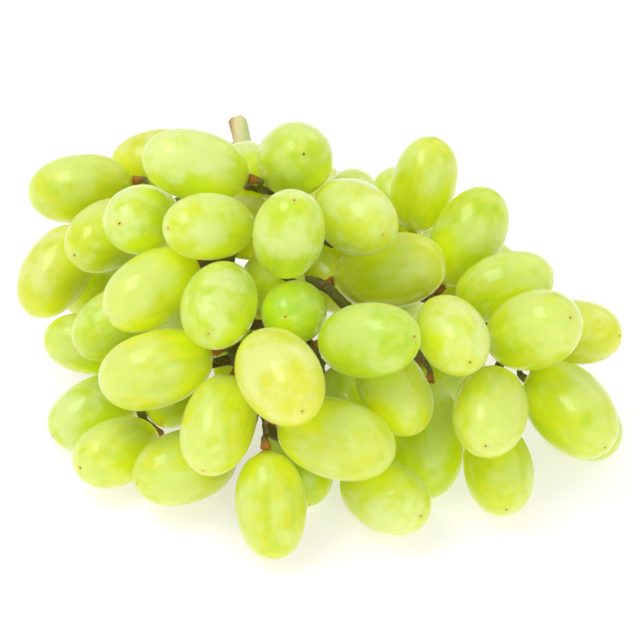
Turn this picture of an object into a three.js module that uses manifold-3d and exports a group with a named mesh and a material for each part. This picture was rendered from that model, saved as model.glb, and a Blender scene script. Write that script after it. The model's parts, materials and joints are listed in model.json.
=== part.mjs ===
import * as THREE from 'three';
import { mergeVertices } from 'three/addons/utils/BufferGeometryUtils.js';
import Module from 'manifold-3d';

// A bunch of pale green table grapes, picked and lying on a table: long seedless berries on a
// branched stalk, whose cut end (the peduncle) points up and away at the back.
// Lengths are millimetres and angles are degrees. +X is to the right, +Y away from the viewer, +Z up.

// The viewer looks along +Y and down on the table. A spot in the bunch is told as this viewer sees it:
// how far across, how far up, and how near to the viewer it is, from the middle of the bunch.
const VIEW_DOWN = 38;
const VIEW_DISTANCE = 650;
const MIDDLE_HEIGHT = 34.7;

// A berry is 1.52 times as long as it is wide. Its ends are a little blunter than an ellipsoid's.
const BERRY_ASPECT = 1.52;
const BERRY_BLUNTNESS = 2.12;
const BERRY_SIDES = 12;
const BERRY_BANDS = 7;
// Neighbours keep this gap, and a berry on the table is pressed flat by this depth.
const BERRY_GAP = 0.8;
const TABLE_DENT = 0.45;

// A pedicel is the thin stem of one berry. Its receptacle is the swollen end against the berry.
const PEDICEL_RADIUS = 0.85;
const RECEPTACLE_RADIUS = 1.75;
const RECEPTACLE_LENGTH = 2.6;
const PEDICEL_SIDES = 5;
const PEDICEL_STEP = 3.6;
const PEDICEL_TAPER = 0.025;
// The stalk keeps this gap to every berry.
const STALK_GAP = 0.35;

// The branches are round in section, and each one swells where it leaves the rachis.
const BRANCH_SIDES = 6;
const BRANCH_STEP = 5;
const SWELLING = 0.7;
const SWELLING_LENGTH = 3;
// Facets of the stalk that differ by less than this are joined.
const STALK_FINENESS = 0.09;

// Each branch of the stalk has a route through spots (across, up, near), a radius at its root and at
// its tip, and the berries that sit round it. The rachis is the stalk's main stem and comes first.
// A berry's row is: across, up, near, lean, tilt, width, skin. Lean is the way its blossom end points,
// anticlockwise from the right, and tilt is how far that end is turned towards the viewer.
const BRANCHES = [
  {
    name: 'rachis',
    route: [[-21.6, 52.3, -47], [-19.8, 44.3, -43], [-20, 33, -38], [-24, 17, -21],
      [-24.5, 3, -9], [-21, -10.4, 4], [-14, -25, 17], [-12.6, -29.5, 20.5]],
    radii: [2.7, 1.6],
    berries: [
      [-18.5, 36.5, -24, 100, -75, 17.4, 'pale'],
      [-18.8, 24, -9, 170, 10, 17, 'yellow'],
      [-12.3, 6.2, -2, 110, 72, 17, 'green'],
      [-19, -9, -15, 250, 40, 17, 'green'],
      [-10.4, -14.8, 38, 305, 50, 20.3, 'yellow'],
      [-12.8, -48.2, 26.4, 275, 0, 17.8, 'green'],
      [-3, -35.4, 5, 281, 24, 17.6, 'green'],
    ],
  },
  {
    name: 'left_shoulder',
    route: [[-20, 33.5, -38], [-30, 32, -31], [-40, 30, -27], [-50, 23, -30]],
    radii: [1.9, 1.1],
    berries: [
      [-62.5, 33.9, -31, 188, 5, 18.9, 'green'],
      [-43, 41.4, -43, 190, 0, 18, 'yellow'],
      [-32.6, 39.8, 11, 167, 12, 18.4, 'pale'],
      [-68.5, 13, -21, 240, 15, 18.2, 'yellow'],
      [-55.7, 22.4, -8, 216, 46, 18.3, 'green'],
      [-46.4, 25.5, 8, 197, 68, 18.2, 'pale'],
    ],
  },
  {
    name: 'left_arm',
    route: [[-24.1, 13, -17.6], [-31, 14, -6], [-38, 10, -6], [-48, 6, -13]],
    radii: [1.8, 1.1],
    berries: [
      [-29.7, 22.7, 13, 184, 40, 17.2, 'pale'],
      [-43.6, 7.2, 13, 215, 25, 18.8, 'green'],
      [-56.2, 8.9, -39, 200, 30, 17.3, 'green'],
      [-50.8, 1.3, -6, 215, 20, 17, 'green'],
      [-60.4, -7, -14, 170, 5, 16.2, 'green'],
      [-25, 2.9, 25, 253, 58, 19, 'pale'],
    ],
  },
  {
    name: 'left_foot',
    route: [[-21.1, -10, 3.6], [-27, -11, 9], [-34, -13, 7], [-44, -15, 0]],
    radii: [1.6, 1.1],
    berries: [
      [-42.3, -12.4, 20, 197, 5, 19.5, 'green'],
      [-58.9, -24, -7, 210, 25, 17.8, 'pale'],
      [-52.4, -34.4, 6, 203, 45, 17.4, 'green'],
      [-38.5, -19, -4, 250, 35, 16, 'green'],
      [-35.2, -38, 10, 197, 30, 19, 'green'],
      [-26.5, -27.2, 26, 253, 34, 18.4, 'green'],
    ],
  },
  {
    name: 'crown',
    route: [[-23.1, 20.5, -24.3], [-9, 26, -18], [3, 20, -10], [14, 20, -15], [22, 19, -22]],
    radii: [1.8, 1.1],
    berries: [
      [-6.8, 41.7, -1, 10, 80, 19.6, 'green'],
      [-8.1, 21.6, 24, 79, 53, 18, 'pale'],
      [9, 26.8, 9, 325, 52, 18.8, 'pale'],
      [8.1, 29.8, -15, 80, -50, 16, 'pale'],
      [20, 28.5, -37, 95, 0, 15.8, 'pale'],
      [27.1, 35.2, -21, 77, 12, 17.4, 'green'],
      [2, 12.5, -21, 300, 30, 16.6, 'green'],
    ],
  },
  {
    name: 'right_wing',
    route: [[-24.2, 10, -15], [-15, 9.5, -20.5], [-8, 9.5, -18.5], [-2.5, 10, -9], [2.5, 8, -1],
      [8, 2.5, -3], [16, -0.5, -6], [28, -1, -8], [42, -1, -10], [52, -4, -12]],
    radii: [1.9, 1.1],
    berries: [
      [38.5, 21.6, -13, 62, 8, 18.8, 'green'],
      [18, 12.6, -4, 10, 12, 19.7, 'green'],
      [48.2, 8.6, 5, 18, 8, 17.3, 'green'],
      [55.2, -3.4, 21, 22, 54, 19.8, 'green'],
      [66.5, -3.1, -5, 355, 35, 17.3, 'yellow'],
      [-6, 2.3, 17, 208, 78, 16.2, 'green'],
      [64.6, -23.1, 7, 310, 38, 20.2, 'green'],
      [65.4, -24.8, -13, 322, 0, 18.6, 'green'],
    ],
  },
  {
    name: 'right_foot',
    route: [[-23.5, -1, -5.2], [-10, -2, 4], [-3.5, -5, 8], [-0.5, -11, 3], [1, -15, -8],
      [6, -18, -15.5], [14, -20, -18], [25, -24, -14]],
    radii: [1.7, 1.1],
    berries: [
      [34.4, -3.9, 27, 300, 54, 17.3, 'pale'],
      [12.8, -5.2, 34, 5, 40, 18.8, 'green'],
      [9, -20.3, 2, 290, 20, 16.6, 'green'],
      [17.7, -19.5, 20, 300, 30, 17.2, 'green'],
      [28, -31.6, 4, 266, 18, 20.2, 'green'],
      [44.5, -23.2, 21, 257, 54, 18.9, 'green'],
      [44.8, -37.5, 9, 278, 42, 17.8, 'green'],
      [4.4, -30.3, 27, 344, 9, 20, 'green'],
      [16.9, -45.3, 18, 332, 45, 18.4, 'pale'],
    ],
  },
  {
    name: 'back_left',
    route: [[-21, 29, -33.8], [-25, 20, -42], [-33, 10, -42], [-42, 8, -42]],
    radii: [1.7, 1.1],
    berries: [
      [-24, 27, -55, 130, -55, 18, 'green'],
      [-45, 21, -54, 155, -40, 18, 'green'],
      [-12, 7.6, -50, 150, -75, 17.5, 'green'],
      [-34, -1, -39, 200, -52, 17.5, 'green'],
    ],
  },
  {
    name: 'back_right',
    route: [[-24.4, 6, -11.5], [-10, 7.5, -27], [8, 7.5, -33.5], [24, 6.4, -30], [40, 0, -26]],
    radii: [1.7, 1.1],
    berries: [
      [0, 30, -48, 90, -45, 18, 'green'],
      [22, 21, -46, 50, -55, 18, 'green'],
      [40, 11, -34, 24, -27, 17.5, 'green'],
      [58, -4, -27, 0, -18, 17.5, 'green'],
      [17, 0.4, -42.6, 0, -80, 17.5, 'green'],
      [33, -12, -24, 350, -54, 17.5, 'green'],
    ],
  },
];

const SKINS = {
  green: { color: 0xa9c832, roughness: 0.35, metalness: 0 },
  pale: { color: 0xc2d96a, roughness: 0.42, metalness: 0 },
  yellow: { color: 0xc6cf3a, roughness: 0.35, metalness: 0 },
};
const STALK_SKIN = { color: 0xb08d4f, roughness: 0.75, metalness: 0 };

const wasm = await Module();
wasm.setup();

// The viewer's three directions: right, up in the picture, and towards the viewer.
const viewAngle = THREE.MathUtils.degToRad(VIEW_DOWN);
const RIGHT = new THREE.Vector3(1, 0, 0);
const PICTURE_UP = new THREE.Vector3(0, Math.sin(viewAngle), Math.cos(viewAngle));
const TOWARDS = new THREE.Vector3(0, -Math.cos(viewAngle), Math.sin(viewAngle));

// Near things look larger, so a spot's distances shrink as it comes nearer.
function spot([across, up, near]) {
  const shrink = 1 - near / VIEW_DISTANCE;
  return new THREE.Vector3(0, 0, MIDDLE_HEIGHT)
    .addScaledVector(RIGHT, across * shrink)
    .addScaledVector(PICTURE_UP, up * shrink)
    .addScaledVector(TOWARDS, near);
}

function pointing(lean, tilt) {
  const leanAngle = THREE.MathUtils.degToRad(lean);
  const tiltAngle = THREE.MathUtils.degToRad(tilt);
  return new THREE.Vector3()
    .addScaledVector(RIGHT, Math.cos(leanAngle) * Math.cos(tiltAngle))
    .addScaledVector(PICTURE_UP, Math.sin(leanAngle) * Math.cos(tiltAngle))
    .addScaledVector(TOWARDS, Math.sin(tiltAngle));
}

// The spread of an ellipsoid round an axis is the matrix whose quadratic form gives the square of
// its half-size in any direction.
function spreadOf(axis, halfLength, halfWidth) {
  const extra = halfLength ** 2 - halfWidth ** 2;
  const { x, y, z } = axis;
  const round = halfWidth ** 2;
  return new THREE.Matrix3(
    round + extra * x * x, extra * x * y, extra * x * z,
    extra * y * x, round + extra * y * y, extra * y * z,
    extra * z * x, extra * z * y, round + extra * z * z,
  );
}

// Two ellipsoids overlap where this is below 1, and touch where it is 1. Its square root is the
// scale at which they would touch, found as the highest of the values along a blend of the two.
const BLENDS = 10;

function closeness(offset, spread, otherSpread) {
  let highest = 0;
  for (let step = 1; step < BLENDS; step += 1) {
    const share = step / BLENDS;
    const blend = new THREE.Matrix3();
    for (let i = 0; i < 9; i += 1) {
      blend.elements[i] = (1 - share) * spread.elements[i] + share * otherSpread.elements[i];
    }
    const turned = offset.clone().applyMatrix3(blend.invert());
    highest = Math.max(highest, share * (1 - share) * offset.dot(turned));
  }
  return highest;
}

function makeBerry(branch, row, index) {
  const [across, up, near, lean, tilt, width, skin] = row;
  const axis = pointing(lean, tilt);
  const halfWidth = width / 2;
  const halfLength = halfWidth * BERRY_ASPECT;
  const room = BERRY_GAP / 2;
  return {
    name: `${branch.name}_berry_${index + 1}`,
    skin,
    axis,
    halfWidth,
    halfLength,
    home: spot([across, up, near]),
    centre: spot([across, up, near]),
    spread: spreadOf(axis, halfLength + room, halfWidth + room),
    hidden: branch.name.startsWith('back'),
  };
}

function branchCurve(branch) {
  return new THREE.CatmullRomCurve3(branch.route.map(spot), false, 'centripetal');
}

// A ball, told in the same terms as a berry.
function makeBall(centre, radius) {
  return { centre, radius, spread: spreadOf(RIGHT, radius, radius) };
}

// Balls strung along every branch, which the berries keep clear of.
const STRING_STEP = 2;

function branchBeads(branches) {
  const beads = [];
  for (const branch of branches) {
    const curve = branchCurve(branch);
    const count = Math.ceil(curve.getLength() / STRING_STEP);
    for (let i = 0; i <= count; i += 1) {
      const share = i / count;
      const radius = THREE.MathUtils.lerp(branch.radii[0], branch.radii[1], share) + STALK_GAP;
      beads.push(makeBall(curve.getPointAt(share), radius));
    }
  }
  return beads;
}

// A berry that is seen in front gives way mostly in depth, so that it stays where it is seen, and
// of two berries the one farther from the viewer moves more.
const DEPTH_GIVE = 1.2;
const PICTURE_GIVE = 0.25;
const FAR_SHARE = 0.75;

function giveWay(berry, push) {
  if (berry.hidden) {
    berry.centre.add(push);
    return;
  }
  const depth = push.dot(TOWARDS);
  const sideways = push.clone().addScaledVector(TOWARDS, -depth);
  berry.centre.addScaledVector(sideways, PICTURE_GIVE).addScaledVector(TOWARDS, depth * DEPTH_GIVE);
}

// How far one body has to move along the line of centres to be clear of the other, or null.
function separation(body, other) {
  const offset = body.centre.clone().sub(other.centre);
  const reach = (body.halfLength ?? body.radius) + (other.halfLength ?? other.radius);
  if (offset.length() > reach + BERRY_GAP) {
    return null;
  }
  const scale = Math.sqrt(closeness(offset, body.spread, other.spread));
  return scale < 1 ? offset.multiplyScalar(1 / scale - 1) : null;
}

function halfHeight(berry) {
  const tall = berry.halfLength ** 2 - berry.halfWidth ** 2;
  return Math.sqrt(berry.halfWidth ** 2 + tall * berry.axis.z ** 2);
}

function shareOfPush(berry, other) {
  if (berry.hidden !== other.hidden) {
    return berry.hidden ? 1 : 0;
  }
  return berry.home.dot(TOWARDS) < other.home.dot(TOWARDS) ? FAR_SHARE : 1 - FAR_SHARE;
}

function stemEnd(berry, beyond) {
  return berry.centre.clone().addScaledVector(berry.axis, -(berry.halfLength + beyond));
}

// The room that a berry's stem end needs, as a ball which the other berries keep out of.
function stemRoom(berry) {
  const radius = RECEPTACLE_RADIUS + STALK_GAP;
  return makeBall(stemEnd(berry, radius), radius);
}

// The berries push each other, the branches and the table until nothing overlaps. At first each one
// is drawn home again after every round, by a share of its way, and less so in depth.
const SETTLING_ROUNDS = 500;
const HOMING_ROUNDS = 300;
const HOMING = 0.05;
const DEPTH_HOMING = 0.3;
const STEM_PUSH = 0.5;
const BRANCH_PUSH = 0.7;
const STILL = 0.01;

function settle(berries, beads) {
  for (let round = 0; round < SETTLING_ROUNDS; round += 1) {
    let moved = 0;
    for (const berry of berries) {
      for (const other of berries) {
        if (other === berry) {
          continue;
        }
        const push = separation(berry, other);
        if (push) {
          const share = shareOfPush(berry, other);
          giveWay(berry, push.clone().multiplyScalar(share));
          giveWay(other, push.clone().multiplyScalar(share - 1));
          moved += push.length();
        }
        const shove = separation(berry, stemRoom(other));
        if (shove) {
          giveWay(berry, shove.multiplyScalar(STEM_PUSH));
          moved += shove.length();
        }
      }
      for (const bead of beads) {
        const push = separation(berry, bead);
        if (push) {
          giveWay(berry, push.multiplyScalar(BRANCH_PUSH));
          moved += push.length();
        }
      }
      const sunk = halfHeight(berry) - TABLE_DENT - berry.centre.z;
      if (sunk > 0) {
        const upwards = berry.hidden ? new THREE.Vector3(0, 0, 1) : TOWARDS;
        berry.centre.addScaledVector(upwards, sunk / upwards.z);
      }
      if (round < HOMING_ROUNDS) {
        const back = berry.home.clone().sub(berry.centre);
        back.addScaledVector(TOWARDS, -back.dot(TOWARDS) * (1 - DEPTH_HOMING));
        berry.centre.addScaledVector(back, HOMING);
      }
    }
    if (round > HOMING_ROUNDS && moved < STILL) {
      break;
    }
  }
}

// Solids are joined and cut as closed bodies whose corners are shared.
function toSolid(geometry) {
  const bare = geometry.clone();
  bare.deleteAttribute('normal');
  bare.deleteAttribute('uv');
  const joined = mergeVertices(bare, 1e-4);
  return new wasm.Manifold(new wasm.Mesh({
    numProp: 3,
    vertProperties: new Float32Array(joined.attributes.position.array),
    triVerts: new Uint32Array(joined.index.array),
  }));
}

function toGeometry(solid) {
  const mesh = solid.getMesh();
  const geometry = new THREE.BufferGeometry();
  geometry.setAttribute('position', new THREE.BufferAttribute(mesh.vertProperties, 3));
  geometry.setIndex(new THREE.BufferAttribute(mesh.triVerts, 1));
  geometry.computeVertexNormals();
  return geometry;
}

// A berry's outline, turned about its own long axis. The blossom end is at +Z.
function berryGeometry(halfLength, halfWidth) {
  const profile = [];
  for (let band = 0; band <= BERRY_BANDS; band += 1) {
    const angle = Math.PI * (band / BERRY_BANDS - 0.5);
    const power = 2 / BERRY_BLUNTNESS;
    const onAxis = band === 0 || band === BERRY_BANDS;
    const radius = onAxis ? 0 : halfWidth * Math.cos(angle) ** power;
    const along = halfLength * Math.sign(Math.sin(angle)) * Math.abs(Math.sin(angle)) ** power;
    profile.push(new THREE.Vector2(radius, along));
  }
  const geometry = new THREE.LatheGeometry(profile, BERRY_SIDES);
  geometry.rotateX(Math.PI / 2);
  return geometry;
}

function berryMesh(berry) {
  const material = new THREE.MeshStandardMaterial(SKINS[berry.skin]);
  const mesh = new THREE.Mesh(berryGeometry(berry.halfLength, berry.halfWidth), material);
  mesh.name = berry.name;
  mesh.position.copy(berry.centre);
  mesh.quaternion.setFromUnitVectors(new THREE.Vector3(0, 0, 1), berry.axis);
  mesh.updateMatrixWorld();
  if (berry.centre.z < halfHeight(berry)) {
    pressOnTable(mesh);
  }
  return mesh;
}

// The berry's underside is cut off level with the table.
const SLAB_WIDTH = 60;
const SLAB_DEPTH = 20;

function pressOnTable(mesh) {
  const slab = new THREE.BoxGeometry(SLAB_WIDTH, SLAB_WIDTH, SLAB_DEPTH);
  slab.translate(mesh.position.x, mesh.position.y, -SLAB_DEPTH / 2);
  const placed = mesh.geometry.clone().applyMatrix4(mesh.matrixWorld);
  mesh.geometry = toGeometry(toSolid(placed).subtract(toSolid(slab)));
  mesh.position.set(0, 0, 0);
  mesh.quaternion.identity();
}

// A round tube along a curve. It is drawn thin, and then each ring of corners is moved out to its
// radius, which follows a function of the share of the way along.
function tube(curve, steps, sides, radiusAt) {
  const thin = 0.5;
  const section = new THREE.Shape();
  section.absarc(0, 0, thin, 0, Math.PI * 2);
  const round = new THREE.Shape(section.getSpacedPoints(sides).slice(0, sides));
  const geometry = new THREE.ExtrudeGeometry(round, { steps, extrudePath: curve, curveSegments: 1 });
  const rings = curve.getSpacedPoints(steps);
  const position = geometry.attributes.position;
  const corner = new THREE.Vector3();
  for (let i = 0; i < position.count; i += 1) {
    corner.fromBufferAttribute(position, i);
    let nearest = 0;
    for (let ring = 1; ring <= steps; ring += 1) {
      if (corner.distanceTo(rings[ring]) < corner.distanceTo(rings[nearest])) {
        nearest = ring;
      }
    }
    const radius = radiusAt(nearest / steps);
    corner.sub(rings[nearest]).multiplyScalar(radius / thin).add(rings[nearest]);
    position.setXYZ(i, corner.x, corner.y, corner.z);
  }
  return geometry;
}

function branchSolid(branch) {
  const curve = branchCurve(branch);
  const length = curve.getLength();
  const steps = Math.ceil(length / BRANCH_STEP);
  const [rootRadius, tipRadius] = branch.radii;
  const swelling = branch.name === 'rachis' ? 0 : SWELLING;
  return toSolid(tube(curve, steps, BRANCH_SIDES, (share) => (
    THREE.MathUtils.lerp(rootRadius, tipRadius, share)
      + swelling * Math.exp(-((share * length / SWELLING_LENGTH) ** 2))
  )));
}

// A pedicel is strung like a thread from the stalk to the berry's stem end, and every bead of the
// thread is pushed out of the berries that it would cross, and drawn straight between its neighbours.
const THREAD_ROUNDS = 160;
const BEAD_SPACING = 2.5;
const THREAD_PULL = 0.4;
const THREAD_ROOM = 0.15;
// The straight stretch in front of a berry that its receptacle lies in.
const STRAIGHT_LENGTH = RECEPTACLE_LENGTH + 1.2;

function threadPedicel(berry, berries, start) {
  const before = stemEnd(berry, STALK_GAP + STRAIGHT_LENGTH);
  const last = Math.max(2, Math.ceil(start.distanceTo(before) / BEAD_SPACING));
  const beads = [];
  for (let i = 0; i <= last; i += 1) {
    beads.push(start.clone().lerp(before, i / last));
  }
  const radius = PEDICEL_RADIUS + STALK_GAP + THREAD_ROOM;
  for (let round = 0; round < THREAD_ROUNDS; round += 1) {
    for (let i = 1; i < last; i += 1) {
      const middle = beads[i - 1].clone().add(beads[i + 1]).multiplyScalar(0.5);
      beads[i].lerp(middle, THREAD_PULL);
      for (const other of berries) {
        const push = separation(makeBall(beads[i], radius), other);
        if (push) {
          beads[i].add(push);
        }
      }
    }
  }
  return [...beads, stemEnd(berry, STALK_GAP)];
}

// The berry nearest to the stalk is joined to it first, and each one joined adds its own pedicel
// to the stalk, so that later ones may fork from its first stretch.
const FORK_SHARE = 0.6;
const ROOTS_PER_BRANCH = 30;

function growPedicels(berries) {
  const stalk = BRANCHES.flatMap((branch) => branchCurve(branch).getSpacedPoints(ROOTS_PER_BRANCH));
  const waiting = new Set(berries);
  const threads = [];
  while (waiting.size > 0) {
    let best = null;
    for (const berry of waiting) {
      const ahead = stemEnd(berry, STRAIGHT_LENGTH);
      for (const root of stalk) {
        const distance = root.distanceTo(ahead);
        if (!best || distance < best.distance) {
          best = { berry, root, distance };
        }
      }
    }
    const beads = threadPedicel(best.berry, berries, best.root);
    threads.push(beads);
    stalk.push(...beads.slice(1, Math.floor(beads.length * FORK_SHARE)));
    waiting.delete(best.berry);
  }
  return threads;
}

// The pedicel tapers from a thicker root, and its last stretch widens into the receptacle.
function pedicelSolid(beads) {
  const curve = new THREE.CatmullRomCurve3(beads, false, 'centripetal');
  const steps = Math.max(3, Math.round(curve.getLength() / PEDICEL_STEP));
  const rootRadius = PEDICEL_RADIUS + curve.getLength() * PEDICEL_TAPER;
  return toSolid(tube(curve, steps, PEDICEL_SIDES, (share) => (
    share === 1 ? RECEPTACLE_RADIUS : THREE.MathUtils.lerp(rootRadius, PEDICEL_RADIUS, share)
  )));
}

function stalkMesh(berries) {
  let solid = null;
  for (const branch of BRANCHES) {
    const piece = branchSolid(branch);
    solid = solid ? solid.add(piece) : piece;
  }
  for (const beads of growPedicels(berries)) {
    solid = solid.add(pedicelSolid(beads));
  }
  const geometry = toGeometry(solid.simplify(STALK_FINENESS));
  const mesh = new THREE.Mesh(geometry, new THREE.MeshStandardMaterial(STALK_SKIN));
  mesh.name = 'stalk';
  return mesh;
}

const berries = BRANCHES.flatMap((branch) => (
  branch.berries.map((row, index) => makeBerry(branch, row, index))
));
settle(berries, branchBeads(BRANCHES));

const bunch = new THREE.Group();
bunch.name = 'bunch_of_grapes';
bunch.add(stalkMesh(berries));
for (const berry of berries) {
  bunch.add(berryMesh(berry));
}

// The origin is under the middle of the bunch, on the table.
const box = new THREE.Box3().setFromObject(bunch, true);
const centre = box.getCenter(new THREE.Vector3());
bunch.position.set(-centre.x, -centre.y, 0);
bunch.updateMatrixWorld(true);

export default bunch;
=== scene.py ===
# %% [markdown]
# A bunch of pale green grapes, picked and laid on a white ground.
#
# The bunch has two kinds of piece. The stalk is one grown thing: the cut stem at the back, the
# branches inside, and one thin stem to each berry. Each of the 59 berries is a piece of its own.
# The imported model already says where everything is. This script keeps those places and gives each
# piece its fine shape and its finish.

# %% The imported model
import json
import math
import random

import bmesh
import bpy
import numpy
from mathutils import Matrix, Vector, kdtree


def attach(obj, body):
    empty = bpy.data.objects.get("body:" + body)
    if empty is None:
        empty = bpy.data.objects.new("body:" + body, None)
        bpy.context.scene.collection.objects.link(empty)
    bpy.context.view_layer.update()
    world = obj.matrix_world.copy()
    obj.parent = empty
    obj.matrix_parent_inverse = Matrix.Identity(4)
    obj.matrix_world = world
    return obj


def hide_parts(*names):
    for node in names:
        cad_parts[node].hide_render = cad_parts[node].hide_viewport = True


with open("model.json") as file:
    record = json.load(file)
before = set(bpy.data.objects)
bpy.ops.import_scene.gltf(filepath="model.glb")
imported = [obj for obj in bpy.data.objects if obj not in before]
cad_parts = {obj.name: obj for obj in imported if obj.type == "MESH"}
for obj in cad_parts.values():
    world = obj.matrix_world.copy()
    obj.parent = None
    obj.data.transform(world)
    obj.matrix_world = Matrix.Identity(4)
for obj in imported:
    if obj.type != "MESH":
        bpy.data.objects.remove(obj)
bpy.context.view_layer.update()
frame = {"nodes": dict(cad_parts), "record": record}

MM = 0.001
nodes = frame["nodes"]
berry_names = sorted(name for name in nodes if name != "stalk")
print("pieces in the packed model:", len(nodes), "of which berries:", len(berry_names))

# %% [markdown]
# The camera. The photograph was taken from the front, looking down on the table at 38 degrees.
# A long lens from 650 mm keeps the near berries only a little larger than the far ones. The camera
# is placed from the point that it looks at, so that the view can be read from three numbers.

# %% Camera
LOOKED_AT = Vector((1.135, -7.162, 34.7)) * MM
VIEW_DOWN = math.radians(38)
VIEW_DISTANCE = 0.650
WIDTH_AT_BUNCH = 0.16667

camera_data = bpy.data.cameras.new("camera")
camera = bpy.data.objects.new("camera", camera_data)
bpy.context.collection.objects.link(camera)
towards_camera = Vector((0, -math.cos(VIEW_DOWN), math.sin(VIEW_DOWN)))
camera.location = LOOKED_AT + towards_camera * VIEW_DISTANCE
camera.rotation_euler = (-towards_camera).to_track_quat("-Z", "Y").to_euler()
camera_data.lens = camera_data.sensor_width * VIEW_DISTANCE / WIDTH_AT_BUNCH
camera_data.clip_start = 0.01
camera_data.clip_end = 20
bpy.context.scene.camera = camera
print("camera at", [round(v, 3) for v in camera.location], "lens", round(camera_data.lens, 1))

# %% [markdown]
# The light. In the photograph the ground burns out to white, the shadows are faint, and the berries
# glow from inside, as they do on a light table: a white sheet lit from below. Each berry carries a
# soft highlight near its top. So a white world lights everything evenly, the ground gives off light
# of its own, a large soft box hangs overhead to the left, a second one fills the front, and a weaker
# one behind to the right draws the thin bright line on the far edges. The ground is a shade less
# green than grey, because the bunch throws green light on it.


# %% World, soft boxes and ground
WORLD_STRENGTH = 0.70
GROUND_COLOUR = (0.70, 0.67, 0.74, 1)
GROUND_GLOW = (0.98, 0.95, 1, 1)
GROUND_GLOW_STRENGTH = 0.50


def soft_box(name, direction, distance, size, watts):
    data = bpy.data.lights.new(name, "AREA")
    data.shape = "RECTANGLE"
    data.size, data.size_y = size
    data.energy = watts
    lamp = bpy.data.objects.new(name, data)
    lamp.location = LOOKED_AT + Vector(direction).normalized() * distance
    lamp.rotation_euler = (LOOKED_AT - lamp.location).to_track_quat("-Z", "Y").to_euler()
    bpy.context.collection.objects.link(lamp)


world = bpy.data.worlds.new("white studio")
world.use_nodes = True
world.node_tree.nodes["Background"].inputs["Color"].default_value = (1, 1, 1, 1)
world.node_tree.nodes["Background"].inputs["Strength"].default_value = WORLD_STRENGTH
bpy.context.scene.world = world
bpy.context.scene.view_settings.view_transform = "Standard"

soft_box("window_left", (-0.42, -0.05, 0.9), 0.70, (0.46, 0.28), 1.7)
soft_box("fill_front", (0.35, -0.85, 0.40), 0.90, (0.70, 0.45), 1.4)
soft_box("window_back", (0.55, 0.65, 0.60), 0.80, (0.50, 0.30), 0.5)

ground_mesh = bpy.data.meshes.new("ground")
ground_mesh.from_pydata([(-3, -3, 0), (3, -3, 0), (3, 3, 0), (-3, 3, 0)], [], [(0, 1, 2, 3)])
ground = bpy.data.objects.new("ground", ground_mesh)
bpy.context.collection.objects.link(ground)
ground_skin = bpy.data.materials.new("white_ground")
ground_skin.use_nodes = True
ground_shader = ground_skin.node_tree.nodes["Principled BSDF"]
ground_shader.inputs["Base Color"].default_value = GROUND_COLOUR
ground_shader.inputs["Emission Color"].default_value = GROUND_GLOW
ground_shader.inputs["Emission Strength"].default_value = GROUND_GLOW_STRENGTH
ground_shader.inputs["Roughness"].default_value = 0.9
ground_shader.inputs["Specular IOR Level"].default_value = 0.1
ground_skin.cycles.emission_sampling = "NONE"
ground_mesh.materials.append(ground_skin)

# %% [markdown]
# Node trees are built in code here, so a few short helpers keep that readable. Each one makes a
# node, feeds its inputs with plain numbers or with other nodes' outputs, and gives back what comes
# out. They serve geometry trees and shader trees alike.


# %% Helpers for node trees
def feed(tree, socket, value):
    if isinstance(value, bpy.types.NodeSocket):
        tree.links.new(value, socket)
    else:
        socket.default_value = value


def calc(tree, operation, *values):
    node = tree.nodes.new("ShaderNodeMath")
    node.operation = operation
    for socket, value in zip(node.inputs, values):
        feed(tree, socket, value)
    return node.outputs[0]


def vector_calc(tree, operation, *values):
    node = tree.nodes.new("ShaderNodeVectorMath")
    node.operation = operation
    sockets = [node.inputs[0], node.inputs["Scale"]] if operation == "SCALE" else node.inputs
    for socket, value in zip(sockets, values):
        feed(tree, socket, value)
    return node.outputs["Value"] if operation in ("LENGTH", "DOT_PRODUCT") else node.outputs[0]


def ramp(tree, value, start, end):
    """0 where value is at start, 1 where it is at end, and smooth between."""
    node = tree.nodes.new("ShaderNodeMapRange")
    node.interpolation_type = "SMOOTHSTEP"
    feed(tree, node.inputs["Value"], value)
    if start < end:
        node.inputs["From Min"].default_value, node.inputs["From Max"].default_value = start, end
        return node.outputs["Result"]
    node.inputs["From Min"].default_value, node.inputs["From Max"].default_value = end, start
    return calc(tree, "SUBTRACT", 1, node.outputs["Result"])


def blend_colour(tree, share, first, second):
    node = tree.nodes.new("ShaderNodeMix")
    node.data_type = "RGBA"
    feed(tree, node.inputs[0], share)
    feed(tree, node.inputs[6], first)
    feed(tree, node.inputs[7], second)
    return node.outputs[2]


def cloud(tree, place, scale, detail=2.0, seed=None, rough=0.5, twist=0.0):
    node = tree.nodes.new("ShaderNodeTexNoise")
    node.noise_dimensions = "3D" if seed is None else "4D"
    feed(tree, node.inputs["Vector"], place)
    node.inputs["Scale"].default_value = scale
    node.inputs["Detail"].default_value = detail
    node.inputs["Roughness"].default_value = rough
    node.inputs["Distortion"].default_value = twist
    if seed is not None:
        feed(tree, node.inputs["W"], seed)
    return node.outputs[0]


def new_tree(name, kind, inputs, outputs):
    tree = bpy.data.node_groups.new(name, kind)
    for label, socket_type, default in inputs:
        socket = tree.interface.new_socket(label, in_out="INPUT", socket_type=socket_type)
        if default is not None:
            socket.default_value = default
    for label, socket_type in outputs:
        tree.interface.new_socket(label, in_out="OUTPUT", socket_type=socket_type)
    start = tree.nodes.new("NodeGroupInput")
    end = tree.nodes.new("NodeGroupOutput")
    return tree, start.outputs, end.inputs


print("helpers ready")
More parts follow.
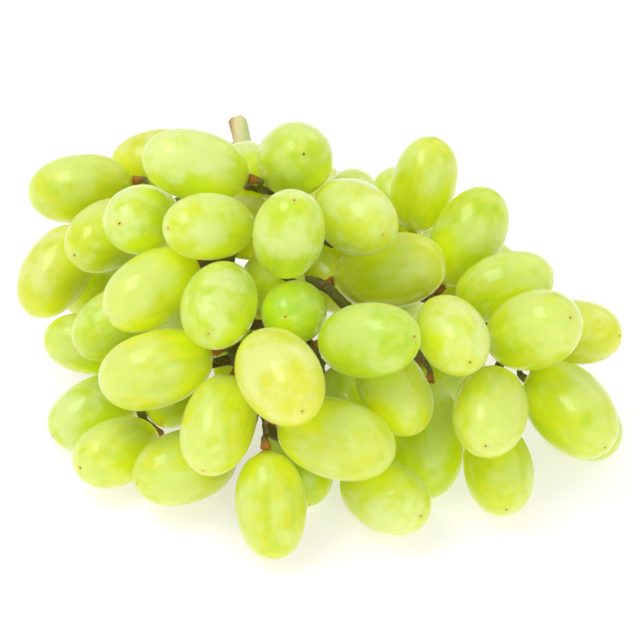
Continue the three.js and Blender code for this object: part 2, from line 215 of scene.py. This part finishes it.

# %% [markdown]
# The skin of a berry. A green grape is clear flesh in a thin tight skin: light goes in, wanders and
# comes out yellower, and along the skin lies a milky bloom. It is rubbed off in patches. More of it
# on the outward, upward side is painted light from above. Where a berry touches its neighbours it
# is gone, partly rubbed off and partly painted away as light come through the neighbour, and a
# faint painted glow lifts the shade there. Small pale breathing spots and a few brown specks sit
# in the skin, and at the blossom end there is a tiny dark scar. All of that is one shader group,
# because the three skins of this bunch share it. It reads the place on the berry, which the
# berry's own mesh carries, and so it looks the same from every side.

# %% Shader group for grape skin
skin_tree, skin_in, skin_out = new_tree(
    "grape skin pattern",
    "ShaderNodeTree",
    [
        ("Place", "NodeSocketVector", None),
        ("Tip Distance", "NodeSocketFloat", 1.0),
        ("Stem Distance", "NodeSocketFloat", 1.0),
        ("Tone", "NodeSocketFloat", 0.3),
        ("Scar", "NodeSocketFloat", 1.0),
        ("Outward", "NodeSocketFloat", 0.5),
        ("Neighbour Distance", "NodeSocketFloat", 1.0),
        ("Flesh", "NodeSocketColor", (0.5, 0.7, 0.05, 1)),
        ("Clear", "NodeSocketColor", (0.4, 0.65, 0.02, 1)),
        ("Bloom", "NodeSocketColor", (0.7, 0.85, 0.4, 1)),
        ("Bloom Share", "NodeSocketFloat", 0.5),
    ],
    [
        ("Colour", "NodeSocketColor"),
        ("Roughness", "NodeSocketFloat"),
        ("Height", "NodeSocketFloat"),
        ("Painted Glow", "NodeSocketColor"),
    ],
)
place = skin_in["Place"]

# Bloom lies in soft patches whose edges are a little broken, and less on the greenest berries. The
# extra bloom on what faces out of the bunch, which leans upward, is painted light from above. Near
# a neighbour it is gone, partly rubbed off and partly painted away as light come through it.
patches = cloud(skin_tree, place, 0.9, detail=2.0, rough=0.5)
smudges = cloud(skin_tree, place, 2.7, detail=2.0, rough=0.5, twist=0.4)
patches = calc(skin_tree, "MULTIPLY_ADD", smudges, 0.40, patches)
kept = calc(skin_tree, "MULTIPLY_ADD", skin_in["Outward"], 0.16, patches)
bloom_and_painted_light_mask = ramp(skin_tree, kept, 0.63, 0.93)
away_from_neighbours = ramp(skin_tree, skin_in["Neighbour Distance"], 0.5 * MM, 6.0 * MM)
bloom_and_painted_light_mask = calc(skin_tree, "MULTIPLY", bloom_and_painted_light_mask, away_from_neighbours)
bloom_and_painted_light_mask = calc(skin_tree, "MULTIPLY", bloom_and_painted_light_mask, ramp(skin_tree, skin_in["Tone"], 1.25, 0.6))
bloom_and_painted_light_amount = calc(skin_tree, "MULTIPLY", bloom_and_painted_light_mask, skin_in["Bloom Share"])

# The flesh under the skin is streaked along the berry, from stem to tip.
stretched = vector_calc(skin_tree, "MULTIPLY", place, (2.6, 2.6, 0.5))
streaks = ramp(skin_tree, cloud(skin_tree, stretched, 1.7, detail=2.0), 0.35, 0.68)
tone_part = calc(skin_tree, "MULTIPLY", skin_in["Tone"], 0.68)
depth = calc(skin_tree, "MULTIPLY_ADD", streaks, 0.32, tone_part)
colour = blend_colour(skin_tree, depth, skin_in["Flesh"], skin_in["Clear"])
colour = blend_colour(skin_tree, bloom_and_painted_light_amount, colour, skin_in["Bloom"])


def dots(tree, where, scale, radius, kept):
    """Round dots in the cells of a Voronoi texture. Only a share of the cells keep theirs."""
    node = tree.nodes.new("ShaderNodeTexVoronoi")
    feed(tree, node.inputs["Vector"], where)
    node.inputs["Scale"].default_value = scale
    spread = tree.nodes.new("ShaderNodeSeparateColor")
    tree.links.new(node.outputs["Color"], spread.inputs[0])
    chosen = calc(tree, "LESS_THAN", spread.outputs[0], kept)
    dot = ramp(tree, node.outputs["Distance"], radius, radius * 0.35)
    return calc(tree, "MULTIPLY", dot, chosen)


PORE_COLOUR = (0.78, 0.86, 0.42, 1)
SPECK_COLOUR = (0.30, 0.20, 0.05, 1)
SCAR_COLOUR = (0.10, 0.045, 0.015, 1)
SCAR_HALO = (0.62, 0.52, 0.08, 1)
pores = dots(skin_tree, place, 9.0, 0.13, 0.55)
specks = dots(skin_tree, place, 5.2, 0.07, 0.10)
colour = blend_colour(skin_tree, calc(skin_tree, "MULTIPLY", pores, 0.22), colour, PORE_COLOUR)
colour = blend_colour(skin_tree, calc(skin_tree, "MULTIPLY", specks, 0.55), colour, SPECK_COLOUR)

# The scar at the blossom end, and the stain under the stem's swollen end.
wobble = calc(skin_tree, "MULTIPLY_ADD", cloud(skin_tree, place, 9.0), 0.4 * MM, -0.2 * MM)
tip = calc(skin_tree, "ADD", skin_in["Tip Distance"], wobble)
halo = calc(skin_tree, "MULTIPLY", ramp(skin_tree, tip, 1.5 * MM, 0.3 * MM), 0.45)
scar = calc(skin_tree, "MULTIPLY", ramp(skin_tree, tip, 0.40 * MM, 0.18 * MM), skin_in["Scar"])
near_stem = ramp(skin_tree, skin_in["Stem Distance"], 3.0 * MM, 1.4 * MM)
stain = calc(skin_tree, "MULTIPLY", near_stem, 0.6)
colour = blend_colour(skin_tree, halo, colour, SCAR_HALO)
colour = blend_colour(skin_tree, stain, colour, SPECK_COLOUR)
colour = blend_colour(skin_tree, scar, colour, SCAR_COLOUR)
skin_tree.links.new(colour, skin_out["Colour"])

# A faint painted glow stands in for light that has wandered through several berries and comes out
# deep yellow-green. It is painted light, strongest in the narrow places between berries, where it
# lifts the shade.
OPEN_PAINTED_GLOW = (0.032, 0.034, 0.0003, 1)
CLOSE_PAINTED_GLOW = (0.160, 0.170, 0.0010, 1)
closeness = ramp(skin_tree, skin_in["Neighbour Distance"], 7.0 * MM, 0.2 * MM)
skin_tree.links.new(blend_colour(skin_tree, closeness, OPEN_PAINTED_GLOW, CLOSE_PAINTED_GLOW), skin_out["Painted Glow"])

# Bloom is duller than bare skin, and the scar is dry.
dull = calc(skin_tree, "MULTIPLY_ADD", bloom_and_painted_light_mask, 0.14, 0.34)
grain = calc(skin_tree, "MULTIPLY_ADD", cloud(skin_tree, place, 22.0, detail=3.0), 0.10, -0.05)
rough = calc(skin_tree, "ADD", dull, grain)
rough = calc(skin_tree, "ADD", rough, calc(skin_tree, "MULTIPLY", scar, 0.4))
skin_tree.links.new(rough, skin_out["Roughness"])

# The skin is not quite even: broad soft dimples, fine grain, and specks that stand up.
relief = calc(skin_tree, "MULTIPLY", cloud(skin_tree, place, 4.0, detail=3.0), 0.6)
relief = calc(skin_tree, "MULTIPLY_ADD", cloud(skin_tree, place, 30.0, detail=2.0), 0.07, relief)
relief = calc(skin_tree, "MULTIPLY_ADD", specks, 0.25, relief)
skin_tree.links.new(relief, skin_out["Height"])
print("skin group:", len(skin_tree.nodes), "nodes")

# %% [markdown]
# Three skins use the group. Most berries are yellow-green. Some are paler, with more bloom, and a
# few that hung in the sun are yellower. Light has to travel inside the flesh, so the shader scatters
# it about a centimetre, red and green much farther than blue. The clear coat is the skin's waxy
# shine over it, and a little sheen is the powdery bloom seen at a low angle. The skin's painted glow
# is too faint to light anything else, so the renderer isn't asked to treat it as a lamp.


# %% Materials of the berries
def attribute(tree, name, output):
    node = tree.nodes.new("ShaderNodeAttribute")
    node.attribute_name = name
    return node.outputs[output]


def berry_skin(name, flesh, clear, bloom, bloom_share):
    material = bpy.data.materials.new(name)
    material.use_nodes = True
    tree = material.node_tree
    shader = tree.nodes["Principled BSDF"]
    pattern = tree.nodes.new("ShaderNodeGroup")
    pattern.node_tree = skin_tree
    feed(tree, pattern.inputs["Place"], attribute(tree, "place", "Vector"))
    feed(tree, pattern.inputs["Tip Distance"], attribute(tree, "tip_distance", "Fac"))
    feed(tree, pattern.inputs["Stem Distance"], attribute(tree, "stem_distance", "Fac"))
    feed(tree, pattern.inputs["Tone"], attribute(tree, "tone", "Fac"))
    feed(tree, pattern.inputs["Scar"], attribute(tree, "scar", "Fac"))
    feed(tree, pattern.inputs["Outward"], attribute(tree, "outward", "Fac"))
    feed(tree, pattern.inputs["Neighbour Distance"], attribute(tree, "neighbour_distance", "Fac"))
    pattern.inputs["Flesh"].default_value = (*flesh, 1)
    pattern.inputs["Clear"].default_value = (*clear, 1)
    pattern.inputs["Bloom"].default_value = (*bloom, 1)
    pattern.inputs["Bloom Share"].default_value = bloom_share
    tree.links.new(pattern.outputs["Colour"], shader.inputs["Base Color"])
    tree.links.new(pattern.outputs["Roughness"], shader.inputs["Roughness"])
    bump = tree.nodes.new("ShaderNodeBump")
    bump.inputs["Strength"].default_value = 0.35
    bump.inputs["Distance"].default_value = 0.25 * MM
    tree.links.new(pattern.outputs["Height"], bump.inputs["Height"])
    tree.links.new(bump.outputs["Normal"], shader.inputs["Normal"])
    shader.inputs["Subsurface Weight"].default_value = 0.95
    shader.inputs["Subsurface Radius"].default_value = (1.0, 1.0, 0.3)
    shader.inputs["Subsurface Scale"].default_value = 10.0 * MM
    shader.inputs["IOR"].default_value = 1.42
    # The painted glow goes in as emission: painted light, not a lamp.
    tree.links.new(pattern.outputs["Painted Glow"], shader.inputs["Emission Color"])
    shader.inputs["Emission Strength"].default_value = 1.0
    shader.inputs["Sheen Weight"].default_value = 0.22
    shader.inputs["Sheen Roughness"].default_value = 0.35
    shader.inputs["Sheen Tint"].default_value = (0.86, 0.95, 0.55, 1)
    material.cycles.emission_sampling = "NONE"
    shader.inputs["Coat Weight"].default_value = 0.6
    shader.inputs["Coat Roughness"].default_value = 0.10
    shader.inputs["Coat IOR"].default_value = 1.45
    return material


skins = {
    "green_skin": berry_skin(
        "green_skin", (0.66, 0.71, 0.018), (0.34, 0.60, 0.004), (0.67, 0.79, 0.28), 0.56),
    "pale_skin": berry_skin(
        "pale_skin", (0.66, 0.73, 0.035), (0.40, 0.64, 0.010), (0.70, 0.80, 0.36), 0.70),
    "yellow_skin": berry_skin(
        "yellow_skin", (0.69, 0.71, 0.040), (0.54, 0.66, 0.012), (0.74, 0.79, 0.34), 0.66),
}
print("skins:", sorted(skins))

# %% [markdown]
# The berry's shape. A long green grape is an oval of revolution with ends a little blunter than an
# ellipsoid's, mostly a trifle fatter towards the blossom, with broad soft dents where it grew
# against its neighbours. It could be a subdivided ball, but the shape follows a rule, so a Geometry
# Nodes tree makes it: a flat grid is rolled round the berry's own axis, its rows are crowded towards
# both ends to hold the scar and the stem collar, and what would sink into the table is pressed flat.

# %% Geometry Nodes tree for one berry
ASPECT = 1.52
BLUNTNESS = 2.12
SIDES, ROWS, CROWDING = 60, 44, 0.62

berry_tree, berry_in, berry_out = new_tree(
    "grape berry",
    "GeometryNodeTree",
    [
        ("Half Length", "NodeSocketFloat", 0.014),
        ("Half Width", "NodeSocketFloat", 0.009),
        ("Bluntness", "NodeSocketFloat", BLUNTNESS),
        ("Fatter Tip", "NodeSocketFloat", 0.02),
        ("Dent Depth", "NodeSocketFloat", 0.05),
        ("Centre", "NodeSocketVector", None),
        ("Axis", "NodeSocketVector", None),
        ("Side", "NodeSocketVector", None),
        ("Bunch Middle", "NodeSocketVector", None),
        ("Seed", "NodeSocketFloat", 0.0),
        ("Tone", "NodeSocketFloat", 0.3),
        ("Scar", "NodeSocketFloat", 1.0),
        ("Skin", "NodeSocketMaterial", None),
    ],
    [("Geometry", "NodeSocketGeometry")],
)
tree = berry_tree
grid = tree.nodes.new("GeometryNodeMeshGrid")
grid.inputs["Size X"].default_value = 1
grid.inputs["Size Y"].default_value = 1
grid.inputs["Vertices X"].default_value = SIDES + 1
grid.inputs["Vertices Y"].default_value = ROWS + 1
on_grid = tree.nodes.new("ShaderNodeSeparateXYZ")
tree.links.new(tree.nodes.new("GeometryNodeInputPosition").outputs[0], on_grid.inputs[0])
turn = calc(tree, "MULTIPLY", on_grid.outputs["X"], math.tau)
row_wave = calc(tree, "SINE", calc(tree, "MULTIPLY", on_grid.outputs["Y"], math.tau))
crowded = calc(tree, "MULTIPLY", row_wave, CROWDING / 2)
latitude = calc(tree, "MULTIPLY_ADD", on_grid.outputs["Y"], math.pi, crowded)
cosine = calc(tree, "MAXIMUM", calc(tree, "COSINE", latitude), 0)
sine = calc(tree, "SINE", latitude)
power = calc(tree, "DIVIDE", 2, berry_in["Bluntness"])
round_part = calc(tree, "POWER", cosine, power)
long_part = calc(tree, "POWER", calc(tree, "ABSOLUTE", sine), power)
long_part = calc(tree, "MULTIPLY", calc(tree, "SIGN", sine), long_part)
unit = tree.nodes.new("ShaderNodeCombineXYZ")
feed(tree, unit.inputs["X"], calc(tree, "MULTIPLY", round_part, calc(tree, "COSINE", turn)))
feed(tree, unit.inputs["Y"], calc(tree, "MULTIPLY", round_part, calc(tree, "SINE", turn)))
feed(tree, unit.inputs["Z"], calc(tree, "MULTIPLY", long_part, ASPECT))

# The dents are one slow noise, read on the berry in half-widths, and they fade out at both ends.
lumps = cloud(tree, unit.outputs[0], 0.9, detail=1.0, seed=berry_in["Seed"])
lumps = calc(tree, "SUBTRACT", lumps, 0.5)
swell = calc(tree, "MULTIPLY_ADD", calc(tree, "MULTIPLY", lumps, berry_in["Dent Depth"]), round_part, 1)
swell = calc(tree, "MULTIPLY_ADD", sine, berry_in["Fatter Tip"], swell)
radius = calc(tree, "MULTIPLY", calc(tree, "MULTIPLY", round_part, berry_in["Half Width"]), swell)


def hill(tree, distance, middle, spread, height):
    """A round hill or ring of this height, where the distance is near its middle."""
    off = calc(tree, "DIVIDE", calc(tree, "SUBTRACT", distance, middle), spread)
    fall = calc(tree, "MULTIPLY", calc(tree, "MULTIPLY", off, off), -1)
    return calc(tree, "MULTIPLY", calc(tree, "EXPONENT", fall), height)


# The tip has a pit inside a low rim, and the stem end a raised collar inside a shallow moat.
at_tip = calc(tree, "GREATER_THAN", sine, 0)
tip_distance = calc(
    tree, "MULTIPLY_ADD", calc(tree, "SUBTRACT", 1, at_tip), berry_in["Half Length"], radius)
stem_distance = calc(tree, "MULTIPLY_ADD", at_tip, berry_in["Half Length"], radius)
pit = hill(tree, tip_distance, 0.0, 0.42 * MM, -0.24 * MM)
rim = hill(tree, tip_distance, 0.75 * MM, 0.32 * MM, 0.10 * MM)
collar = hill(tree, stem_distance, 0.0, 1.5 * MM, 0.42 * MM)
moat = hill(tree, stem_distance, 2.9 * MM, 0.9 * MM, -0.16 * MM)
along = calc(tree, "MULTIPLY", long_part, berry_in["Half Length"])
along = calc(tree, "ADD", along, calc(tree, "ADD", pit, rim))
along = calc(tree, "SUBTRACT", along, calc(tree, "ADD", collar, moat))

# From the berry's own axis to its place in the bunch.
across = vector_calc(tree, "CROSS_PRODUCT", berry_in["Axis"], berry_in["Side"])
spot = vector_calc(
    tree, "SCALE", berry_in["Side"], calc(tree, "MULTIPLY", radius, calc(tree, "COSINE", turn)))
spot = vector_calc(tree, "ADD", spot, vector_calc(
    tree, "SCALE", across, calc(tree, "MULTIPLY", radius, calc(tree, "SINE", turn))))
spot = vector_calc(tree, "ADD", spot, vector_calc(tree, "SCALE", berry_in["Axis"], along))
# The outward share leans upward; the skin turns it into painted light from above.
way_out = vector_calc(tree, "SUBTRACT", berry_in["Centre"], berry_in["Bunch Middle"])
outward = vector_calc(
    tree, "DOT_PRODUCT",
    vector_calc(tree, "NORMALIZE", spot), vector_calc(tree, "NORMALIZE", way_out))
spot = vector_calc(tree, "ADD", spot, berry_in["Centre"])
spot = vector_calc(tree, "MAXIMUM", spot, (-10, -10, 0))
seed_shift = tree.nodes.new("ShaderNodeCombineXYZ")
for axis_name in "XYZ":
    feed(tree, seed_shift.inputs[axis_name], berry_in["Seed"])
place_on_berry = vector_calc(tree, "ADD", unit.outputs[0], seed_shift.outputs[0])


def store(tree, geometry, name, kind, value):
    node = tree.nodes.new("GeometryNodeStoreNamedAttribute")
    node.data_type = kind
    node.inputs["Name"].default_value = name
    tree.links.new(geometry, node.inputs["Geometry"])
    tree.links.new(value, node.inputs["Value"])
    return node.outputs["Geometry"]


geometry = grid.outputs["Mesh"]
geometry = store(tree, geometry, "place", "FLOAT_VECTOR", place_on_berry)
geometry = store(tree, geometry, "tip_distance", "FLOAT", tip_distance)
geometry = store(tree, geometry, "stem_distance", "FLOAT", stem_distance)
geometry = store(tree, geometry, "tone", "FLOAT", berry_in["Tone"])
geometry = store(tree, geometry, "scar", "FLOAT", berry_in["Scar"])
geometry = store(tree, geometry, "outward", "FLOAT", outward)
rolled = tree.nodes.new("GeometryNodeSetPosition")
tree.links.new(geometry, rolled.inputs["Geometry"])
tree.links.new(spot, rolled.inputs["Position"])
welded = tree.nodes.new("GeometryNodeMergeByDistance")
welded.inputs["Distance"].default_value = 0.001 * MM
tree.links.new(rolled.outputs[0], welded.inputs["Geometry"])
smooth = tree.nodes.new("GeometryNodeSetShadeSmooth")
tree.links.new(welded.outputs[0], smooth.inputs["Geometry"])
realized = tree.nodes.new("GeometryNodeRealizeInstances")
tree.links.new(smooth.outputs[0], realized.inputs[0])
painted = tree.nodes.new("GeometryNodeSetMaterial")
tree.links.new(realized.outputs[0], painted.inputs["Geometry"])
tree.links.new(berry_in["Skin"], painted.inputs["Material"])
tree.links.new(painted.outputs[0], berry_out["Geometry"])
print("berry tree:", len(berry_tree.nodes), "nodes")

# %% [markdown]
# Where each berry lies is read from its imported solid. The solid's two farthest points are the
# berry's ends, and the end that is nearer to the stalk is the one it hangs by.


# %% Reading the berries
def corners(node):
    return {tuple(round(c, 7) for c in v.co) for v in nodes[node].data.vertices}


stalk_points = corners("stalk")
stalk_search = kdtree.KDTree(len(stalk_points))
for index, point in enumerate(stalk_points):
    stalk_search.insert(point, index)
stalk_search.balance()


def read_berry(node):
    points = [Vector(p) for p in corners(node)]
    first, second = max(
        ((a, b) for a in points for b in points), key=lambda pair: (pair[0] - pair[1]).length)
    if stalk_search.find(first)[2] > stalk_search.find(second)[2]:
        first, second = second, first
    return {
        "stem_end": first,
        "tip": second,
        "centre": (first + second) / 2,
        "axis": (second - first).normalized(),
        "half_length": (second - first).length / 2,
    }


berries = {name: read_berry(name) for name in berry_names}
widths = [2 * b["half_length"] / ASPECT / MM for b in berries.values()]
print("berries are", round(min(widths), 1), "to", round(max(widths), 1), "mm wide")

# %% [markdown]
# Growing the berries. The same tree makes all 59 of them. Each gets its own sizes, seed and tone,
# and the result is turned into a plain mesh with no modifier left on it.


# %% Growing the berries
slot_of = {row["node"]: row["material_slot"] for row in frame["record"]["subparts"]}
# A berry's tone is 0 where it is yellowest and 1 where it is greenest. Most draw theirs from the
# yellower half. A few, which are plainly greener or yellower than the rest, have theirs given.
TONES = {
    "right_wing_berry_6": 1.0,
    "right_wing_berry_2": 0.05,
    "right_foot_berry_2": 0.7,
    "right_foot_berry_3": 0.7,
    "crown_berry_1": 0.5,
    "crown_berry_2": 0.5,
    "rachis_berry_5": 0.0,
    "right_foot_berry_8": 0.1,
    "left_shoulder_berry_2": 0.3,
    "left_shoulder_berry_4": 0.5,
}
# Outwards is away from this point, a little below the table under the bunch's middle, so it leans
# upward, and the skin's extra bloom there is painted light from above.
BUNCH_MIDDLE = Vector((0, 0, -25)) * MM


def set_inputs(modifier, tree, values):
    for label, value in values.items():
        modifier[tree.interface.items_tree[label].identifier] = value


def plain_mesh(piece):
    """The piece keeps what its modifiers make of it, and loses the modifiers."""
    bpy.context.view_layer.update()
    evaluated = piece.evaluated_get(bpy.context.evaluated_depsgraph_get())
    mesh = bpy.data.meshes.new_from_object(evaluated)
    mesh.name = piece.name
    piece.modifiers.clear()
    piece.data = mesh
    return piece


def grow_berry(node, number):
    shape = berries[node]
    draw = random.Random(number)
    guide = Vector((0, 0, 1)) if abs(shape["axis"].z) < 0.8 else Vector((1, 0, 0))
    side = shape["axis"].cross(guide).normalized()
    piece = bpy.data.objects.new("grape_" + node, bpy.data.meshes.new(node))
    bpy.context.collection.objects.link(piece)
    modifier = piece.modifiers.new("grown", "NODES")
    modifier.node_group = berry_tree
    set_inputs(modifier, berry_tree, {
        "Half Length": shape["half_length"],
        "Half Width": shape["half_length"] / ASPECT,
        "Bluntness": BLUNTNESS,
        "Fatter Tip": draw.uniform(-0.01, 0.04),
        "Dent Depth": draw.uniform(0.03, 0.09),
        "Centre": shape["centre"],
        "Axis": shape["axis"],
        "Side": side,
        "Bunch Middle": BUNCH_MIDDLE,
        "Seed": draw.uniform(0, 40),
        "Tone": TONES.get(node, draw.uniform(0, 0.5)),
        "Scar": draw.uniform(0.35, 1),
        "Skin": skins[slot_of[node]],
    })
    plain_mesh(piece)
    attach(piece, "root")
    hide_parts(node)
    return piece


grown = [grow_berry(node, number) for number, node in enumerate(berry_names)]
print("berries:", len(grown), "with", sum(len(p.data.polygons) for p in grown), "faces")

# %% [markdown]
# Where berries touch, their bloom is gone and the clear skin shows: partly rubbed off, partly painted
# away as light come through the neighbour. The same distance also brightens the painted glow in the
# shade between berries. Each point of a berry learns how far it is from the nearest other berry. The
# distance to an oval is taken from how many times the oval would have to grow to reach the point,
# which is close enough for a soft edge.


# %% Distance to the neighbours
def note_on(mesh, name, values):
    layer = mesh.attributes.new(name, "FLOAT", "POINT")
    layer.data.foreach_set("value", values)


def distance_to_berry(points, shape):
    half_width = shape["half_length"] / ASPECT
    offset = points - numpy.array(shape["centre"])
    along = offset @ numpy.array(shape["axis"])
    aside = numpy.sqrt(numpy.maximum((offset ** 2).sum(axis=1) - along ** 2, 0))
    growth = numpy.sqrt((along / shape["half_length"]) ** 2 + (aside / half_width) ** 2)
    return (growth - 1) * half_width


for piece, node in zip(grown, berry_names):
    points = numpy.array([v.co for v in piece.data.vertices])
    gaps = [distance_to_berry(points, berries[other]) for other in berry_names if other != node]
    note_on(piece.data, "neighbour_distance", numpy.maximum(numpy.min(gaps, axis=0), 0))
print("neighbours found for", len(grown), "berries")

# %% [markdown]
# The stalk. It is woody and rounded, and its branches run into each other without a seam. The packed
# stalk is made of straight facets, so a copy of it is welded, wrapped in a fine even mesh that
# rounds every joint, and smoothed. It could also be swept anew along each branch, but then each
# joint would have to be blended by hand.

# %% The stalk's rounded body
VOXEL = 0.42 * MM

stalk_copy = bmesh.new()
stalk_copy.from_mesh(nodes["stalk"].data)
bmesh.ops.remove_doubles(stalk_copy, verts=stalk_copy.verts, dist=0.01 * MM)
stalk_mesh = bpy.data.meshes.new("stalk")
stalk_copy.to_mesh(stalk_mesh)
stalk_copy.free()
stalk = bpy.data.objects.new("grape_stalk", stalk_mesh)
bpy.context.collection.objects.link(stalk)
wrap = stalk.modifiers.new("wrap", "REMESH")
wrap.mode = "VOXEL"
wrap.voxel_size = VOXEL
wrap.use_smooth_shade = True
ease = stalk.modifiers.new("ease", "SMOOTH")
ease.factor = 0.5
ease.iterations = 7
plain_mesh(stalk)
print("stalk:", len(stalk.data.polygons), "faces")

# %% [markdown]
# Bark. The stalk is green wood that has begun to dry: low ridges run through it, and it has corky
# bumps. A second tree moves the surface a little along its normal. The surface also learns how far
# each point is from the cut end and from the nearest stem end, and how far it lies to the right of
# the cut end, which the colours follow.

# %% The stalk's surface
bark_tree, bark_in, bark_out = new_tree(
    "stalk bark",
    "GeometryNodeTree",
    [
        ("Geometry", "NodeSocketGeometry", None),
        ("Lump Height", "NodeSocketFloat", 0.0003),
        ("Lumps Per Metre", "NodeSocketFloat", 260.0),
        ("Seed", "NodeSocketFloat", 0.0),
        ("Skin", "NodeSocketMaterial", None),
    ],
    [("Geometry", "NodeSocketGeometry")],
)
tree = bark_tree
where = tree.nodes.new("GeometryNodeInputPosition").outputs[0]
scaled = vector_calc(tree, "SCALE", where, bark_in["Lumps Per Metre"])
lump = calc(tree, "SUBTRACT", cloud(tree, scaled, 1.0, detail=3.0, seed=bark_in["Seed"]), 0.42)
offset = vector_calc(
    tree, "SCALE", tree.nodes.new("GeometryNodeInputNormal").outputs[0],
    calc(tree, "MULTIPLY", lump, bark_in["Lump Height"]))
moved = tree.nodes.new("GeometryNodeSetPosition")
tree.links.new(bark_in["Geometry"], moved.inputs["Geometry"])
tree.links.new(offset, moved.inputs["Offset"])
realized = tree.nodes.new("GeometryNodeRealizeInstances")
tree.links.new(moved.outputs[0], realized.inputs[0])
painted = tree.nodes.new("GeometryNodeSetMaterial")
tree.links.new(realized.outputs[0], painted.inputs["Geometry"])
tree.links.new(bark_in["Skin"], painted.inputs["Material"])
tree.links.new(painted.outputs[0], bark_out["Geometry"])

stem_ends = kdtree.KDTree(len(berries))
for index, shape in enumerate(berries.values()):
    stem_ends.insert(shape["stem_end"], index)
stem_ends.balance()

# The cut end is the stalk's corner that lies farthest back and up.
cut_end = Vector(max(stalk_points, key=lambda p: p[1] + p[2]))
STEM_RADIUS = 2.7 * MM
points = [v.co.copy() for v in stalk.data.vertices]
note_on(stalk.data, "berry_distance", [stem_ends.find(p)[2] for p in points])
note_on(stalk.data, "cut_distance", [(p - cut_end).length for p in points])
note_on(stalk.data, "right_side", [(p.x - cut_end.x) / STEM_RADIUS for p in points])
print("stalk points:", len(points))

# %% [markdown]
# The stalk's finish. Near the cut it is smooth and cream, pale green down one side and pinkish brown
# down the other. Inside the bunch it is green brown with specks, painted dark for the shade it lies
# in there, and the swollen ends against the berries are rusty orange.

# %% Material of the stalk
stalk_skin = bpy.data.materials.new("stalk_skin")
stalk_skin.use_nodes = True
tree = stalk_skin.node_tree
shader = tree.nodes["Principled BSDF"]
where = tree.nodes.new("ShaderNodeTexCoord").outputs["Object"]
TAN = (0.40, 0.31, 0.10, 1)
CREAM = (0.78, 0.72, 0.36, 1)
PALE_GREEN = (0.60, 0.68, 0.25, 1)
SHADED_GREEN_WOOD = (0.12, 0.14, 0.015, 1)
SHADED_BROWN_WOOD = (0.090, 0.058, 0.013, 1)
PINK_BROWN = (0.52, 0.20, 0.07, 1)
RUST = (0.50, 0.17, 0.012, 1)
broad = ramp(tree, cloud(tree, where, 110.0, detail=3.0), 0.38, 0.62)
fine = ramp(tree, cloud(tree, where, 900.0, detail=3.0, rough=0.6), 0.35, 0.7)
# Inside the bunch the green brown wood is painted dark: painted shade.
shaded_inner_wood = blend_colour(tree, broad, SHADED_GREEN_WOOD, SHADED_BROWN_WOOD)
shaded_inner_wood = blend_colour(tree, calc(tree, "MULTIPLY", fine, 0.38), shaded_inner_wood, TAN)
right_side = attribute(tree, "right_side", "Fac")
right_side = calc(tree, "MULTIPLY_ADD", cloud(tree, where, 260.0, detail=2.0), 0.9, right_side)
outer = blend_colour(tree, ramp(tree, right_side, 0.1, 1.0), CREAM, PALE_GREEN)
outer = blend_colour(tree, ramp(tree, right_side, -0.1, -0.9), outer, PINK_BROWN)
near_cut = ramp(tree, attribute(tree, "cut_distance", "Fac"), 26 * MM, 15 * MM)
wood = blend_colour(tree, near_cut, shaded_inner_wood, outer)
near_berry = ramp(tree, attribute(tree, "berry_distance", "Fac"), 3.6 * MM, 1.8 * MM)
wood = blend_colour(tree, calc(tree, "MULTIPLY", near_berry, 0.8), wood, RUST)
cork = dots(tree, where, 1400.0, 0.30, 0.35)
cork = calc(tree, "MULTIPLY", cork, calc(tree, "SUBTRACT", 1, near_cut))
wood = blend_colour(tree, calc(tree, "MULTIPLY", cork, 0.7), wood, RUST)
tree.links.new(wood, shader.inputs["Base Color"])
tree.links.new(calc(tree, "MULTIPLY_ADD", fine, 0.25, 0.5), shader.inputs["Roughness"])
bump = tree.nodes.new("ShaderNodeBump")
bump.inputs["Strength"].default_value = 0.6
bump.inputs["Distance"].default_value = 0.15 * MM
tree.links.new(calc(tree, "ADD", fine, cork), bump.inputs["Height"])
tree.links.new(bump.outputs["Normal"], shader.inputs["Normal"])

bark = stalk.modifiers.new("bark", "NODES")
bark.node_group = bark_tree
set_inputs(bark, bark_tree, {
    "Lump Height": 0.45 * MM,
    "Lumps Per Metre": 420.0,
    "Seed": 3.0,
    "Skin": stalk_skin,
})
plain_mesh(stalk)
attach(stalk, "root")
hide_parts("stalk")
print("stalk slots:", [m.name for m in stalk.data.materials])
